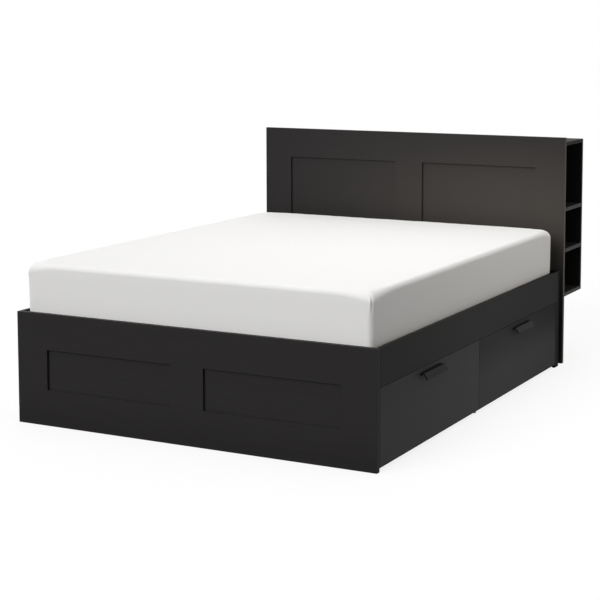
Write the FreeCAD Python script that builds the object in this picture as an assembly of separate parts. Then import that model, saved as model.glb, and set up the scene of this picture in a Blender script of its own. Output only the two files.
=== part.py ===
import FreeCAD
import Part
import math
import os

# Bookcase headboard bed: a double bed frame with four drawers that roll under its sides, a slatted
# base, a mattress, and a headboard that carries a bookcase open at both ends.
# Millimetres. +X is the sleeper's side that is on the right seen from the foot, +Y runs from the foot
# to the head and +Z is up. The origin is on the floor, at the middle of the footprint.

V = FreeCAD.Vector

# ---- driving dimensions ---------------------------------------------------------------------------

# mattress, which the bed frame is built round
mattress_width = 1600.0
mattress_length = 2000.0
mattress_height = 240.0
mattress_bulge = 3.0            # the filled cover's sides stand out this much at half height
mattress_corner = 30.0
mattress_top_edge = 42.0
mattress_bottom_edge = 18.0
mattress_crown = 7.0
mattress_side_gap = 14.0        # mattress to side rail
mattress_end_gap = 3.0          # mattress to foot panel or head panel
soft_gap = 0.3                  # soft piece to what it rests on

# bed frame
bed_height = 470.0
end_board = 22.0                # thickness of foot panel, head panel and headboard front
rail_board = 16.0               # thickness of side rails, drawer fronts and the partition
rail_height = 150.0
edge_ease = 1.0                 # broken edge on every board that shows

# frame pattern routed into the foot panel and the headboard front
stile_width = 150.0             # outer uprights, middle upright and top member
foot_bottom_member = 150.0
head_bottom_member_z = 620.0    # lower edge of the headboard's recesses, behind the mattress
recess_depth = 10.0
recess_corner = 2.0

# headboard and its bookcase
headboard_height = 1110.0
headboard_gap = 55.0            # between head panel and headboard, where the spacers stand
headboard_depth = 280.0         # front panel's face to the back of the bookcase
bookcase_top_step = 22.0        # the front panel stands this much higher than the bookcase
bookcase_low_z = 329.0
shelf_board = 18.0
back_board = 16.0
compartment_length = 380.0      # how far a compartment reaches in from the open end
lower_shelf_z = 547.0           # underside of each shelf
upper_shelf_z = 749.0
spacer_width = 60.0
spacer_low_z = 40.0
spacer_height = 400.0
spacer_x = 600.0
bolt_radius = 4.0
bolt_head_radius = 9.0
bolt_head_height = 5.0
bolt_grip = 13.0                # length of bolt inside the headboard front
bolt_fit = 0.1                  # radial clearance of a bolt in its hole
bolt_inset = 70.0               # from a spacer's end to its bolt

# slatted base
slat_count = 17
slat_width = 70.0
slat_board = 16.0
slat_end_margin = 24.0          # end panel to the first slat
slat_side_gap = 3.0
slat_split_gap = 2.0            # between the right and left slats, over the beam
mattress_sunk = 30.0            # the slats' top lies this much below the rails' top
ledge_width = 30.0
ledge_height = 40.0
beam_width = 40.0
beam_height = 60.0
strap_width = 20.0
strap_sheet = 1.2
strap_places = (0.25, 0.75)     # shares of a slat's length

# steel brackets
bracket_sheet = 2.5
bracket_leg = 50.0
bracket_height = 55.0
bracket_drop = 4.0              # below the ledge
hanger_cheek = 40.0
hanger_wing = 22.0

# head fillers, the short uprights that close the drawers' bay at the head
filler_width = 28.0

# drawers
drawer_floor_gap = 15.0
drawer_gap = 1.0                # between a drawer front and what lies beside or above it
drawer_depth = 700.0
drawer_board = 12.0
drawer_side_height = 180.0
drawer_side_margin = 12.0       # drawer front's end to the box behind it
drawer_stop_gap = 0.3           # closed drawer front to the partition it shuts against

# drawer handle, a bent steel plate
handle_length = 205.0
handle_shift = 16.0             # from the middle of the drawer front towards the bed's near end
handle_sheet = 4.0
handle_drop = 19.0              # drawer front's top to the plate's top
handle_reach = 10.0             # flat part of the plate
handle_bend = 6.0               # outer radius of the bend
handle_lean = 33.0              # degrees from upright, at which the lip slants outward
handle_lip = 25.5               # straight lip below the bend
handle_flange = 11.0            # from the plate's top down to the end of the flange on the front
handle_inner_bend = 6.0         # outer radius where the flange turns into the plate

# castors under the drawers
wheel_radius = 25.0
wheel_width = 14.0
wheel_side_gap = 0.3            # wheel to the fork's cheek
pin_radius = 3.0
pin_fit = 0.05                  # radial clearance of the wheel on its pin
fork_sheet = 2.0
fork_plate_length = 46.0
fork_plate_width = 34.0
fork_eye = 7.0                  # half the width of a cheek at the pin, and its reach below it
fork_top_gap = 3.0              # wheel to the fork's plate
castor_end_inset = 60.0         # from the drawer's front or back to the wheel's axis
castor_side_inset = 45.0        # from the drawer's side to the middle of the wheel

# ---- places worked out from them ------------------------------------------------------------------

bed_width = mattress_width + 2 * (mattress_side_gap + rail_board)
bed_length = mattress_length + 2 * (mattress_end_gap + end_board)   # over foot and head panels
overall_length = bed_length + headboard_gap + headboard_depth
half_width = bed_width / 2
y_foot = -overall_length / 2                    # foot panel's front face
y_inner_foot = y_foot + end_board
y_head = y_foot + bed_length                    # head panel's outer face
y_inner_head = y_head - end_board
y_headboard = y_head + headboard_gap            # headboard front's face
y_bookcase = y_headboard + end_board            # headboard front's back
y_back = y_headboard + headboard_depth          # back of the bookcase
y_back_inner = y_back - back_board
x_rail = half_width - rail_board                # rails' inner face
rail_low_z = bed_height - rail_height
slat_top_z = bed_height - mattress_sunk
slat_low_z = slat_top_z - slat_board
ledge_low_z = slat_low_z - ledge_height
beam_low_z = slat_low_z - beam_height
slat_pitch = (y_inner_head - y_inner_foot - 2 * slat_end_margin - slat_width) / (slat_count - 1)
bookcase_top_z = headboard_height - bookcase_top_step
x_upright = half_width - compartment_length     # outer face of an inner upright

bay_low_y = y_inner_foot
bay_high_y = y_inner_head - filler_width
drawer_front_width = (bay_high_y - bay_low_y - 3 * drawer_gap) / 2
drawer_top_z = rail_low_z - drawer_gap
partition_y = bay_low_y + 1.5 * drawer_gap + drawer_front_width
wheel_top_z = 2 * wheel_radius
fork_plate_z = wheel_top_z + fork_top_gap
drawer_bottom_z = fork_plate_z + fork_sheet


# ---- helpers --------------------------------------------------------------------------------------

def block(x0, x1, y0, y1, z0, z1):
    return Part.makeBox(x1 - x0, y1 - y0, z1 - z0, V(x0, y0, z0))


def board(x0, x1, y0, y1, z0, z1):
    """A board with its edges broken."""
    solid = block(x0, x1, y0, y1, z0, z1)
    return solid.makeChamfer(edge_ease, solid.Edges)


def rod(radius, start, direction, length):
    return Part.makeCylinder(radius, length, start, direction)


def to_left(shape):
    """The same piece on the other side of the bed."""
    return shape.mirror(V(0, 0, 0), V(1, 0, 0))


def both_sides(shapes):
    return shapes + [to_left(s) for s in shapes]


def plate_in_xz(edges, y0, thickness):
    """A closed outline in the XZ plane, made thick along Y."""
    face = Part.Face(Part.Wire(edges))
    return face.extrude(V(0, thickness, 0))


def line(a, b):
    return Part.LineSegment(a, b).toShape()


def arc(a, middle, b):
    return Part.Arc(a, middle, b).toShape()


def save(node, solids):
    shape = Part.makeCompound(solids) if len(solids) > 1 else solids[0]
    shape.exportStep("parts/" + node + ".step")


# ---- panels with the routed frame pattern ---------------------------------------------------------

def recess(x0, x1, face_y, z0, z1):
    """One routed recess, with small rounds where the cutter turned."""
    cut = block(x0, x1, face_y - recess_depth, face_y + recess_depth, z0, z1)
    corners = [e for e in cut.Edges if abs(e.tangentAt(e.FirstParameter).y) > 0.9]
    return cut.makeFillet(recess_corner, corners)


def framed_panel(face_y, height, recess_low_z):
    panel = board(-half_width, half_width, face_y, face_y + end_board, 0, height)
    inner = stile_width / 2
    outer = half_width - stile_width
    for x0, x1 in ((inner, outer), (-outer, -inner)):
        panel = panel.cut(recess(x0, x1, face_y, recess_low_z, height - stile_width))
    return panel


def bolt_axes():
    """Where the four bolts through the headboard's spacers run, as X and Z."""
    return [(x, z) for x in (-spacer_x, spacer_x)
            for z in (spacer_low_z + bolt_inset, spacer_low_z + spacer_height - bolt_inset)]


def bolt_hole(x, z, y0, y1):
    return rod(bolt_radius + bolt_fit, V(x, y0, z), V(0, 1, 0), y1 - y0)


def foot_panel():
    return framed_panel(y_foot, bed_height, foot_bottom_member)


def head_panel():
    panel = board(-half_width, half_width, y_inner_head, y_head, 0, bed_height)
    for x, z in bolt_axes():
        panel = panel.cut(bolt_hole(x, z, y_inner_head - 1, y_head + 1))
    return panel


# ---- bed frame ------------------------------------------------------------------------------------

def side_rail():
    return board(x_rail, half_width, y_inner_foot, y_inner_head, rail_low_z, bed_height)


def head_filler():
    return board(x_rail, half_width, y_inner_head - filler_width, y_inner_head, 0, rail_low_z)


def slat_ledge():
    return block(x_rail - ledge_width, x_rail, y_inner_foot, y_inner_head, ledge_low_z, slat_low_z)


def mid_beam():
    end = bracket_sheet + soft_gap
    return block(-beam_width / 2, beam_width / 2, y_inner_foot + end, y_inner_head - end,
                 beam_low_z, slat_low_z)


def beam_hanger(wall_y, inward):
    """A steel stirrup on an end panel that the middle beam lies in. inward is 1 at the foot."""
    half = beam_width / 2 + soft_gap
    outside = half + bracket_sheet
    low = beam_low_z - bracket_sheet

    def between(x0, x1, reach0, reach1, z0, z1):
        ys = sorted((wall_y + inward * reach0, wall_y + inward * reach1))
        return block(x0, x1, ys[0], ys[1], z0, z1)

    plate = between(-outside - hanger_wing, outside + hanger_wing, 0, bracket_sheet, low, slat_low_z)
    seat = between(-outside, outside, 0, hanger_cheek, low, beam_low_z)
    cheeks = [between(x0, x1, 0, hanger_cheek, low, slat_low_z - bracket_sheet)
              for x0, x1 in ((half, outside), (-outside, -half))]
    return plate.fuse([seat] + cheeks).removeSplitter()


def corner_bracket(wall_y, inward):
    """A steel angle that joins a side rail to an end panel."""
    high = ledge_low_z - bracket_drop
    low = high - bracket_height
    y0, y1 = sorted((wall_y, wall_y + inward * bracket_leg))
    on_rail = block(x_rail - bracket_sheet, x_rail, y0, y1, low, high)
    y0, y1 = sorted((wall_y, wall_y + inward * bracket_sheet))
    on_panel = block(x_rail - bracket_leg, x_rail, y0, y1, low, high)
    return on_rail.fuse(on_panel).removeSplitter()


def centre_partition():
    """Stands on the floor between the drawers, carries beam and ledges, and stops the drawers."""
    half = x_rail - drawer_stop_gap
    y0 = partition_y - rail_board / 2
    y1 = partition_y + rail_board / 2
    wall = block(-half, half, y0, y1, 0, ledge_low_z)
    notch = beam_width / 2 + soft_gap
    return wall.cut(block(-notch, notch, y0 - 1, y1 + 1, beam_low_z, ledge_low_z + 1))


# ---- slatted base ---------------------------------------------------------------------------------

def slat_low_y(index):
    return y_inner_foot + slat_end_margin + index * slat_pitch


slat_x0 = slat_split_gap / 2
slat_x1 = x_rail - slat_side_gap


def slats():
    return [block(slat_x0, slat_x1, slat_low_y(i), slat_low_y(i) + slat_width, slat_low_z, slat_top_z)
            for i in range(slat_count)]


def straps():
    """Webbing stapled under the slats, which keeps them apart."""
    found = []
    for share in strap_places:
        x = slat_x0 + share * (slat_x1 - slat_x0)
        found.append(block(x - strap_width / 2, x + strap_width / 2, slat_low_y(0),
                           slat_low_y(slat_count - 1) + slat_width, slat_low_z - strap_sheet, slat_low_z))
    return found


# ---- mattress -------------------------------------------------------------------------------------

def rounded_outline(half_x, half_y, y_middle, radius, z):
    """Four lines and four quarter arcs."""
    edges = []
    k = radius * (1 - math.sqrt(0.5))
    for quarter in range(4):
        turn = math.radians(90 * quarter)
        a, b = (half_x, half_y) if quarter % 2 == 0 else (half_y, half_x)

        def at(x, y):
            return V(x * math.cos(turn) - y * math.sin(turn),
                     x * math.sin(turn) + y * math.cos(turn) + y_middle, z)

        edges.append(line(at(a, -b + radius), at(a, b - radius)))
        edges.append(arc(at(a, b - radius), at(a - k, b - k), at(a - radius, b)))
    return Part.Wire(edges)


def mattress():
    """A filled cover: rounded edges, sides that stand out at half height and a crowned top."""
    low = slat_top_z + soft_gap
    top = low + mattress_height - mattress_crown
    sections = []
    for step in range(4):
        turn = math.radians(30 * step)
        r = mattress_bottom_edge
        sections.append((low + r * (1 - math.cos(turn)), r * (1 - math.sin(turn)) + mattress_bulge * 0.6))
    middle = (low + top) / 2
    sections.append((middle, 0.0))
    for step in range(4):
        turn = math.radians(30 * step)
        r = mattress_top_edge
        sections.append((top - r * (1 - math.sin(turn)), r * (1 - math.cos(turn)) + mattress_bulge * 0.4))
    reach = mattress_width / 2 - mattress_top_edge
    for share, rise in ((0.25, 0.6), (0.55, 0.9), (0.85, 1.0)):
        sections.append((top + rise * mattress_crown, mattress_top_edge + share * reach))
    y_middle = (y_inner_foot + y_inner_head) / 2
    outlines = []
    for z, inset in sections:
        half_x = mattress_width / 2 - inset
        half_y = mattress_length / 2 - inset
        radius = max(mattress_corner - inset, mattress_corner / 3)
        outlines.append(rounded_outline(half_x, half_y, y_middle, radius, z))
    return Part.makeLoft(outlines, True, True)


# ---- headboard and bookcase -----------------------------------------------------------------------

def headboard_front():
    panel = framed_panel(y_headboard, headboard_height, head_bottom_member_z)
    for x, z in bolt_axes():
        panel = panel.cut(bolt_hole(x, z, y_headboard - 1, y_headboard + bolt_grip + 1))
    return panel


def bookcase_back():
    return board(-half_width, half_width, y_back_inner, y_back, bookcase_low_z, bookcase_top_z)


def bookcase_board(z):
    return board(-half_width, half_width, y_bookcase, y_back_inner, z, z + shelf_board)


def bookcase_upright():
    """The inner wall of the compartments on one side."""
    return block(x_upright - shelf_board, x_upright, y_bookcase, y_back_inner,
                 bookcase_low_z + shelf_board, bookcase_top_z - shelf_board)


def shelf(z):
    return board(x_upright, half_width, y_bookcase, y_back_inner, z, z + shelf_board)


def headboard_spacer():
    spacer = block(spacer_x - spacer_width / 2, spacer_x + spacer_width / 2, y_head, y_headboard,
                   spacer_low_z, spacer_low_z + spacer_height)
    for x, z in bolt_axes():
        spacer = spacer.cut(bolt_hole(x, z, y_head - 1, y_headboard + 1))
    return spacer


def headboard_bolts():
    """Round-headed bolts from inside the bed, through head panel and spacer into the headboard."""
    bolts = []
    for x, z in bolt_axes():
        length = end_board + headboard_gap + bolt_grip
        shank = rod(bolt_radius, V(x, y_inner_head, z), V(0, 1, 0), length)
        head = rod(bolt_head_radius, V(x, y_inner_head - bolt_head_height, z), V(0, 1, 0),
                   bolt_head_height)
        bolts.append(shank.fuse(head).removeSplitter())
    return bolts


# ---- drawers --------------------------------------------------------------------------------------
# A drawer is modelled on the right side of the bed, from y0, the foot end of its front.

def drawer_front(y0):
    return board(x_rail, half_width, y0, y0 + drawer_front_width, drawer_floor_gap, drawer_top_z)


def drawer_box_ends(y0):
    return y0 + drawer_side_margin, y0 + drawer_front_width - drawer_side_margin


def drawer_bottom(y0):
    a, b = drawer_box_ends(y0)
    return block(x_rail - drawer_depth, x_rail, a, b, drawer_bottom_z, drawer_bottom_z + drawer_board)


def drawer_sides(y0):
    a, b = drawer_box_ends(y0)
    z0 = drawer_bottom_z + drawer_board
    return [block(x_rail - drawer_depth, x_rail, y, y + drawer_board, z0, z0 + drawer_side_height)
            for y in (a, b - drawer_board)]


def drawer_back(y0):
    a, b = drawer_box_ends(y0)
    z0 = drawer_bottom_z + drawer_board
    x0 = x_rail - drawer_depth
    return block(x0, x0 + drawer_board, a + drawer_board, b - drawer_board, z0, z0 + drawer_side_height)


def drawer_handle(y0, shift):
    """One plate: a flange on the drawer front, a flat top, and a slanting lip to be gripped."""
    y = y0 + (drawer_front_width - handle_length) / 2 + shift
    t = handle_sheet
    face = half_width
    top = drawer_top_z - handle_drop
    root = (face + handle_inner_bend, top - handle_inner_bend)      # centre of the bend at the flange
    bend = (face + handle_reach, top - handle_bend)                 # centre of the bend at the lip
    turned = 90 - handle_lean

    def at(centre, radius, degrees, along=0.0):
        """A point on an arc, or past its end along the lip. 0 is up, 90 is away from the front."""
        turn = math.radians(degrees)
        out = (math.sin(turn), math.cos(turn))
        return V(centre[0] + radius * out[0] + along * out[1], y,
                 centre[1] + radius * out[1] - along * out[0])

    r = handle_bend
    inner = handle_bend - t
    low = top - handle_flange
    edges = [
        line(V(face, y, low), at(root, handle_inner_bend, -90)),
        arc(at(root, handle_inner_bend, -90), at(root, handle_inner_bend, -45),
            at(root, handle_inner_bend, 0)),
        line(at(root, handle_inner_bend, 0), at(bend, r, 0)),
        arc(at(bend, r, 0), at(bend, r, turned / 2), at(bend, r, turned)),
        line(at(bend, r, turned), at(bend, r, turned, handle_lip)),
        line(at(bend, r, turned, handle_lip), at(bend, inner, turned, handle_lip)),
        line(at(bend, inner, turned, handle_lip), at(bend, inner, turned)),
        arc(at(bend, inner, turned), at(bend, inner, turned / 2), at(bend, inner, 0)),
        line(at(bend, inner, 0), at(root, handle_inner_bend - t, 0)),
        arc(at(root, handle_inner_bend - t, 0), at(root, handle_inner_bend - t, -45),
            at(root, handle_inner_bend - t, -90)),
        line(at(root, handle_inner_bend - t, -90), V(face + t, y, low)),
        line(V(face + t, y, low), V(face, y, low)),
    ]
    return plate_in_xz(edges, y, handle_length)


def castor_places(y0, x):
    """The two castors whose wheels share the axis at x, as X and the middle of each wheel in Y."""
    a, b = drawer_box_ends(y0)
    return [(x, a + castor_side_inset), (x, b - castor_side_inset)]


x_outer_castor = x_rail - castor_end_inset
x_inner_castor = x_rail - drawer_depth + castor_end_inset


def fork(x, y):
    """A pressed plate with two tapered cheeks, and the pin riveted across them."""
    plate = block(x - fork_plate_length / 2, x + fork_plate_length / 2,
                  y - fork_plate_width / 2, y + fork_plate_width / 2,
                  fork_plate_z, fork_plate_z + fork_sheet)
    inner = wheel_width / 2 + wheel_side_gap
    axis_z = wheel_radius
    shoulder = fork_plate_length / 2 - fork_sheet
    outline = [(-shoulder, fork_plate_z), (shoulder, fork_plate_z), (fork_eye, axis_z),
               (fork_eye / 2, axis_z - fork_eye), (-fork_eye / 2, axis_z - fork_eye), (-fork_eye, axis_z)]
    cheeks = []
    for y0 in (y + inner, y - inner - fork_sheet):
        points = [V(x + px, y0, pz) for px, pz in outline]
        edges = [line(a, b) for a, b in zip(points, points[1:] + points[:1])]
        cheeks.append(plate_in_xz(edges, y0, fork_sheet))
    half = inner + fork_sheet
    pin = rod(pin_radius, V(x, y - half, axis_z), V(0, 1, 0), 2 * half)
    return plate.fuse(cheeks + [pin]).removeSplitter()


def wheel(x, y):
    """A solid nylon wheel."""
    start = V(x, y - wheel_width / 2, wheel_radius)
    disc = rod(wheel_radius, start, V(0, 1, 0), wheel_width)
    return disc.cut(rod(pin_radius + pin_fit, start, V(0, 1, 0), wheel_width))


def forks(y0):
    return [fork(x, y) for x_axis in (x_inner_castor, x_outer_castor)
            for x, y in castor_places(y0, x_axis)]


def wheels(y0, x_axis):
    return [wheel(x, y) for x, y in castor_places(y0, x_axis)]


def drawer_nodes(y0, shift):
    sides = drawer_sides(y0)
    return {
        "drawer_front": [drawer_front(y0)],
        "drawer_foot_side": [sides[0]],
        "drawer_head_side": [sides[1]],
        "drawer_back": [drawer_back(y0)],
        "drawer_bottom": [drawer_bottom(y0)],
        "drawer_handle": [drawer_handle(y0, shift)],
        "drawer_castor_forks": forks(y0),
        "drawer_outer_wheels": wheels(y0, x_outer_castor),
        "drawer_inner_wheels": wheels(y0, x_inner_castor),
    }


# ---- the pieces -----------------------------------------------------------------------------------

os.makedirs("parts", exist_ok=True)

save("foot_panel", [foot_panel()])
save("head_panel", [head_panel()])
save("head_fillers", both_sides([head_filler()]))
save("side_rail_right", [side_rail()])
save("side_rail_left", [to_left(side_rail())])
save("slat_ledges", both_sides([slat_ledge()]))
save("corner_brackets", both_sides([corner_bracket(y_inner_foot, 1), corner_bracket(y_inner_head, -1)]))
save("mid_beam", [mid_beam()])
save("mid_beam_hangers", [beam_hanger(y_inner_foot, 1), beam_hanger(y_inner_head, -1)])
save("centre_partition", [centre_partition()])
save("slats_right", slats())
save("slats_left", [to_left(s) for s in slats()])
save("slat_straps", both_sides(straps()))
save("mattress", [mattress()])

save("headboard_front", [headboard_front()])
save("headboard_spacers", both_sides([headboard_spacer()]))
save("headboard_bolts", headboard_bolts())
save("bookcase_top", [bookcase_board(bookcase_top_z - shelf_board)])
save("bookcase_bottom", [bookcase_board(bookcase_low_z)])
save("bookcase_back", [bookcase_back()])
save("bookcase_upright_right", [bookcase_upright()])
save("bookcase_upright_left", [to_left(bookcase_upright())])
save("shelves_right", [shelf(lower_shelf_z), shelf(upper_shelf_z)])
save("shelves_left", [to_left(shelf(lower_shelf_z)), to_left(shelf(upper_shelf_z))])

for end, start_y, shift in (("foot", bay_low_y + drawer_gap, -handle_shift),
                            ("head", bay_low_y + 2 * drawer_gap + drawer_front_width, handle_shift)):
    for node, solids in drawer_nodes(start_y, shift).items():
        save(end + "_right_" + node, solids)
        save(end + "_left_" + node, [to_left(s) for s in solids])
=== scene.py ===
import math

import bpy
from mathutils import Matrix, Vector, kdtree, noise


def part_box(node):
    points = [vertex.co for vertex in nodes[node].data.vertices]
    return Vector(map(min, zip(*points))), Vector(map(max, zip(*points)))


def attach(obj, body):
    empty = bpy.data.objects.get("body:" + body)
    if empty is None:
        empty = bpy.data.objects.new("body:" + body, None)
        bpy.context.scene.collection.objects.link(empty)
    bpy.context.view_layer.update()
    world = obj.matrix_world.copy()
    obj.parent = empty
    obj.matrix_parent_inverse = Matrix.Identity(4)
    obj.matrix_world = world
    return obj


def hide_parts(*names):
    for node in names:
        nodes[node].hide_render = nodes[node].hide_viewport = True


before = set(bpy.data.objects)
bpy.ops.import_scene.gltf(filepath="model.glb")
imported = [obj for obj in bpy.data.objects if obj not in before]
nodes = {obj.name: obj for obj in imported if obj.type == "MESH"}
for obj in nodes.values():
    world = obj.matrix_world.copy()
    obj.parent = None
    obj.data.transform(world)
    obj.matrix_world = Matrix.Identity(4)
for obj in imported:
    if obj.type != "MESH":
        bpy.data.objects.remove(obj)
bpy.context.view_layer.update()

# Bookcase headboard bed. Metres, in the row frame: +Y from the foot to the head, +X the right side.

MM = 0.001
DRAWERS = [(end, side) for end in ("foot", "head") for side in ("right", "left")]
SLAT_COUNT = 17
SLAT_WIDTH = 70 * MM

# levels that the finishes and the light share
FOIL_ROUGH = 0.42
FLOOR_TONE = 0.18       # what lights the object from the floor
FLOOR_GLOW = 0.83       # what the camera and reflections see on top of that
SKY = 0.22

# tints of the foil, in linear light
FRAME_TINT = (0.0249, 0.0233, 0.0233)
PANEL_TINT = (0.0277, 0.0259, 0.0259)
RAIL_TINT = (0.0200, 0.0192, 0.0190)
DRAWER_TINT = (0.0230, 0.0227, 0.0226)
INSIDE_SHADE_TINT = (0.0140, 0.0128, 0.0122)      # painted shade: the bookcase's boards, darker than the frame's foil for the deep compartments
GAP_SHADE_TINT = (0.0040, 0.0036, 0.0035)         # painted shade: boards in the gap between bed frame and headboard, far darker than the foil
PAINTED_GLOW_GAIN = (2.36, 2.24, 2.02)              # painted light: how much lighter and redder the colour is made towards one corner


# ---- meshes ---------------------------------------------------------------------------------------

def add_object(name, points, faces, material, smooth=True):
    mesh = bpy.data.meshes.new(name)
    mesh.from_pydata([tuple(p) for p in points], [], faces)
    mesh.materials.append(material)
    mesh.validate()
    if smooth:
        mesh.shade_smooth()
    made = bpy.data.objects.new(name, mesh)
    bpy.context.scene.collection.objects.link(made)
    return made


def slat_rows():
    """Where the first slat starts along Y, and the pitch of the slats."""
    low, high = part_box("slats_right")
    return low.y, (high.y - low.y - SLAT_WIDTH) / (SLAT_COUNT - 1)


def basis(axis):
    """Two unit vectors square to an axis, and the axis."""
    w = Vector(axis).normalized()
    u = Vector((0, 0, 1)) if abs(w.z) < 0.9 else Vector((1, 0, 0))
    u = (u - w * u.dot(w)).normalized()
    return u, w.cross(u), w


class Turned:
    """Collects pieces turned round an axis into one mesh."""

    def __init__(self):
        self.points, self.faces = [], []

    def add(self, origin, axis, profile, segments=24, dent=None):
        """A closed piece. profile is (radius, height) from one end to the other.
        dent(radius, angle) lowers a point."""
        u, v, w = basis(axis)
        first = len(self.points)
        for radius, height in profile:
            for k in range(segments):
                a = 2 * math.pi * k / segments
                sunk = dent(radius, a) if dent else 0.0
                out = u * math.cos(a) + v * math.sin(a)
                self.points.append(Vector(origin) + out * radius + w * (height - sunk))
        for ring in range(len(profile) - 1):
            for k in range(segments):
                a = first + ring * segments + k
                b = first + ring * segments + (k + 1) % segments
                self.faces.append((a, b, b + segments, a + segments))
        self.faces.append(tuple(first + k for k in reversed(range(segments))))
        last = first + (len(profile) - 1) * segments
        self.faces.append(tuple(last + k for k in range(segments)))

    def ring(self, origin, axis, profile, segments=48):
        """A closed profile turned round an axis, open in the middle."""
        u, v, w = basis(axis)
        first = len(self.points)
        count = len(profile)
        for k in range(segments):
            a = 2 * math.pi * k / segments
            out = u * math.cos(a) + v * math.sin(a)
            self.points += [Vector(origin) + out * radius + w * height
                            for radius, height in profile]
        for k in range(segments):
            here, there = first + k * count, first + (k + 1) % segments * count
            for i in range(count):
                j = (i + 1) % count
                self.faces.append((here + i, there + i, there + j, here + j))

    def build(self, name, material):
        made = add_object(name, self.points, self.faces, material)
        made.data.set_sharp_from_angle(angle=math.radians(38))
        return made


def cross_drive(size, depth):
    """A cross-shaped recess in a screw's head, size across from its middle and shallower outward."""
    def dent(radius, angle):
        if radius > size:
            return 0.0
        arm = abs(math.cos(2 * angle))
        return depth * max(0.0, arm - 0.2 * radius / size) * (1 - 0.6 * radius / size)
    return dent


def pan_screws(name, places, axis, material, radius=4.0 * MM, height=2.2 * MM):
    """Cross-headed pan screws that stand on a face at the given places."""
    made = Turned()
    rim = [(radius * 0.93, -0.4 * MM), (radius, 0.25 * MM), (radius, 0.7 * MM)]
    crown = [(0.9, 0.72), (0.7, 0.93), (0.55, 1.0), (0.4, 1.0), (0.22, 0.98), (0.08, 0.97)]
    profile = rim + [(radius * out, height * up) for out, up in crown]
    for at in places:
        made.add(at, axis, profile, 24, cross_drive(radius * 0.56, height * 0.62))
    return made.build(name, material)


# ---- material nodes -------------------------------------------------------------------------------

class Finish:
    """One procedural material, built node by node round a Principled shader."""

    def __init__(self, name, roughness=0.5, metallic=0.0, ior_level=0.5, **fixed):
        self.material = bpy.data.materials.new(name)
        self.material.use_nodes = True
        self.tree = self.material.node_tree
        self.shader = self.tree.nodes["Principled BSDF"]
        self.shader.inputs["Roughness"].default_value = roughness
        self.shader.inputs["Metallic"].default_value = metallic
        self.shader.inputs["Specular IOR Level"].default_value = ior_level
        for key, value in fixed.items():
            self.shader.inputs[key.replace("_", " ")].default_value = value
        self.coords = self.tree.nodes.new("ShaderNodeTexCoord")
        self.place = self.coords.outputs["Object"]

    def _feed(self, socket, value):
        if isinstance(value, bpy.types.NodeSocket):
            self.tree.links.new(value, socket)
        elif value is not None:
            socket.default_value = value

    def math(self, operation, a, b=None):
        made = self.tree.nodes.new("ShaderNodeMath")
        made.operation = operation
        self._feed(made.inputs[0], a)
        self._feed(made.inputs[1], b)
        return made.outputs[0]

    def vector(self, operation, a, b=None):
        made = self.tree.nodes.new("ShaderNodeVectorMath")
        made.operation = operation
        self._feed(made.inputs[0], a)
        self._feed(made.inputs[1], b)
        return made.outputs[0]

    def parts(self, vector):
        made = self.tree.nodes.new("ShaderNodeSeparateXYZ")
        self._feed(made.inputs[0], vector)
        return made.outputs[0], made.outputs[1], made.outputs[2]

    def join(self, x, y, z):
        made = self.tree.nodes.new("ShaderNodeCombineXYZ")
        for socket, value in zip(made.inputs, (x, y, z)):
            self._feed(socket, value)
        return made.outputs[0]

    def noise(self, vector, scale=1.0, detail=2.0, roughness=0.5):
        made = self.tree.nodes.new("ShaderNodeTexNoise")
        self._feed(made.inputs["Vector"], vector)
        for key, value in (("Scale", scale), ("Detail", detail), ("Roughness", roughness)):
            made.inputs[key].default_value = value
        return made.outputs["Fac"]

    def random(self, value):
        made = self.tree.nodes.new("ShaderNodeTexWhiteNoise")
        made.noise_dimensions = "1D"
        self._feed(made.inputs["W"], value)
        return made.outputs["Value"]

    def cells(self, vector, scale):
        made = self.tree.nodes.new("ShaderNodeTexVoronoi")
        self._feed(made.inputs["Vector"], vector)
        made.inputs["Scale"].default_value = scale
        return made.outputs["Distance"]

    def span(self, value, low, high, to_low=0.0, to_high=1.0):
        made = self.tree.nodes.new("ShaderNodeMapRange")
        made.interpolation_type = "SMOOTHSTEP"
        for socket, number in zip(made.inputs[:5], (value, low, high, to_low, to_high)):
            self._feed(socket, number)
        return made.outputs[0]

    def blend(self, factor, a, b, mode="MIX"):
        made = self.tree.nodes.new("ShaderNodeMix")
        made.data_type, made.blend_type = "RGBA", mode
        self._feed(made.inputs[0], factor)
        for socket, value in ((made.inputs[6], a), (made.inputs[7], b)):
            self._feed(socket, (*value, 1.0) if isinstance(value, tuple) else value)
        return made.outputs[2]

    def bump(self, height, strength, distance):
        made = self.tree.nodes.new("ShaderNodeBump")
        self._feed(made.inputs["Height"], height)
        made.inputs["Strength"].default_value = strength
        made.inputs["Distance"].default_value = distance
        if self.shader.inputs["Normal"].links:
            self._feed(made.inputs["Normal"], self.shader.inputs["Normal"].links[0].from_socket)
        self.tree.links.new(made.outputs[0], self.shader.inputs["Normal"])

    def color(self, value):
        self._feed(self.shader.inputs["Base Color"], value)

    def rough(self, value):
        self._feed(self.shader.inputs["Roughness"], value)

    def along(self, axis, lengthwise, crosswise):
        """Coordinates stretched so that noise runs in lines along an axis."""
        scale = [crosswise] * 3
        scale["XYZ".index(axis)] = lengthwise
        return self.vector("MULTIPLY", self.place, Vector(scale))

    def edges(self, low, high, width):
        """1 on the edges of the box between two corners, 0 further in than width."""
        lie = self.coords.outputs["Object"]
        inside = self.vector("MINIMUM", self.vector("SUBTRACT", lie, low),
                             self.vector("SUBTRACT", high, lie))
        x, y, z = self.parts(inside)
        second = self.math("MAXIMUM", self.math("MINIMUM", x, y),
                           self.math("MINIMUM", self.math("MAXIMUM", x, y), z))
        return self.span(second, 0.0, width, 1.0, 0.0)


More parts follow.
